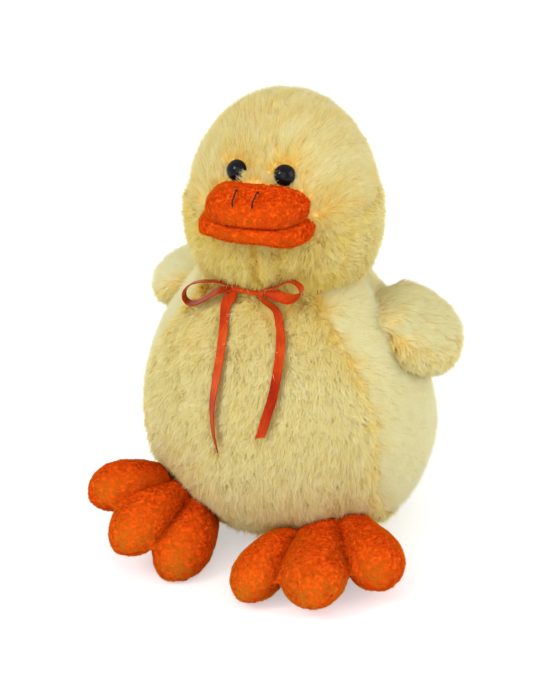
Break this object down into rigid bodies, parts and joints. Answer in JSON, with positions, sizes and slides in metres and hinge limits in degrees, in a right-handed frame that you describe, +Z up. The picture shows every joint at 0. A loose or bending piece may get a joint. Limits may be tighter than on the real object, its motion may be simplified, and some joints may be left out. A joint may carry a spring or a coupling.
{
  "type": "plush chick",
  "caption": "Stuffed toy chick that sits up, with a pile cover, stuffed bill, wings and toed feet, button eyes and a satin bow at the neck.",
  "frame": {"origin": "centre of the flat round patch under the body, on the surface it sits on", "axes": "+Z up, the chick faces -Y, and its own left is +X"},
  "size_m": [0.1938, 0.2004, 0.26],
  "materials": {
    "yellow_pile": "long combed pale yellow pile, matt with a soft sheen",
    "curly_pile": "the same pile, ruffled into short tufts",
    "orange_plush": "short dense orange nap that shows where it was stroked",
    "satin_ribbon": "woven satin, soft gloss along the ribbon",
    "eye_plastic": "polished black",
    "washer_plastic": "plain white moulding",
    "black_thread": "twisted embroidery thread",
    "fibre_stuffing": "white polyester fibre"
  },
  "bodies": {
    "body": {"base_panel": "yellow_pile", "belly_panel": "curly_pile", "side_panel_left": "yellow_pile", "side_panel_right": "yellow_pile", "body_stuffing": "fibre_stuffing", "ribbon_neck_band": "satin_ribbon", "ribbon_knot": "satin_ribbon", "ribbon_loop_left": "satin_ribbon", "ribbon_loop_right": "satin_ribbon", "ribbon_tail_left": "satin_ribbon", "ribbon_tail_right": "satin_ribbon"},
    "head": {"crown_panel_left": "yellow_pile", "crown_panel_right": "yellow_pile", "cheek_panel_left": "curly_pile", "cheek_panel_right": "curly_pile", "head_stuffing": "fibre_stuffing", "eye_left": "eye_plastic", "eye_right": "eye_plastic", "eye_washer_left": "washer_plastic", "eye_washer_right": "washer_plastic", "nostril_stitch_left": "black_thread", "nostril_stitch_right": "black_thread", "upper_bill": "orange_plush", "upper_bill_stuffing": "fibre_stuffing", "lower_bill": "orange_plush", "lower_bill_stuffing": "fibre_stuffing"},
    "wing_left": {"wing_left": "yellow_pile", "wing_stuffing_left": "fibre_stuffing"},
    "foot_left": {"foot_left": "orange_plush", "foot_stuffing_left": "fibre_stuffing"},
    "wing_right": {"wing_right": "yellow_pile", "wing_stuffing_right": "fibre_stuffing"},
    "foot_right": {"foot_right": "orange_plush", "foot_stuffing_right": "fibre_stuffing"}
  },
  "joints": [
    {"name": "head_turn", "type": "hinge", "parent": "body", "child": "head", "pos_m": [0, -0.006, 0.161], "axis": [0, 0, 1], "range_deg": [-28, 12], "stiffness_Nm_per_rad": 0.15},
    {"name": "wing_left_lift", "type": "hinge", "parent": "body", "child": "wing_left", "pos_m": [0.05, 0.009, 0.134], "axis": [0.4067, -0.9135, 0], "range_deg": [-6, 35], "stiffness_Nm_per_rad": 0.06},
    {"name": "wing_right_lift", "type": "hinge", "parent": "body", "child": "wing_right", "pos_m": [-0.042, 0.017, 0.139], "axis": [0.1392, 0.9903, 0], "range_deg": [-6, 35], "stiffness_Nm_per_rad": 0.06},
    {"name": "foot_left_bend", "type": "hinge", "parent": "body", "child": "foot_left", "pos_m": [0.0438, -0.0398, 0.0119], "axis": [-0.9466, -0.3223, 0], "range_deg": [-14, 10], "stiffness_Nm_per_rad": 0.2},
    {"name": "foot_right_bend", "type": "hinge", "parent": "body", "child": "foot_right", "pos_m": [-0.0417, -0.0491, 0.0222], "axis": [-0.9882, 0.153, 0], "range_deg": [-14, 10], "stiffness_Nm_per_rad": 0.2}
  ]
}
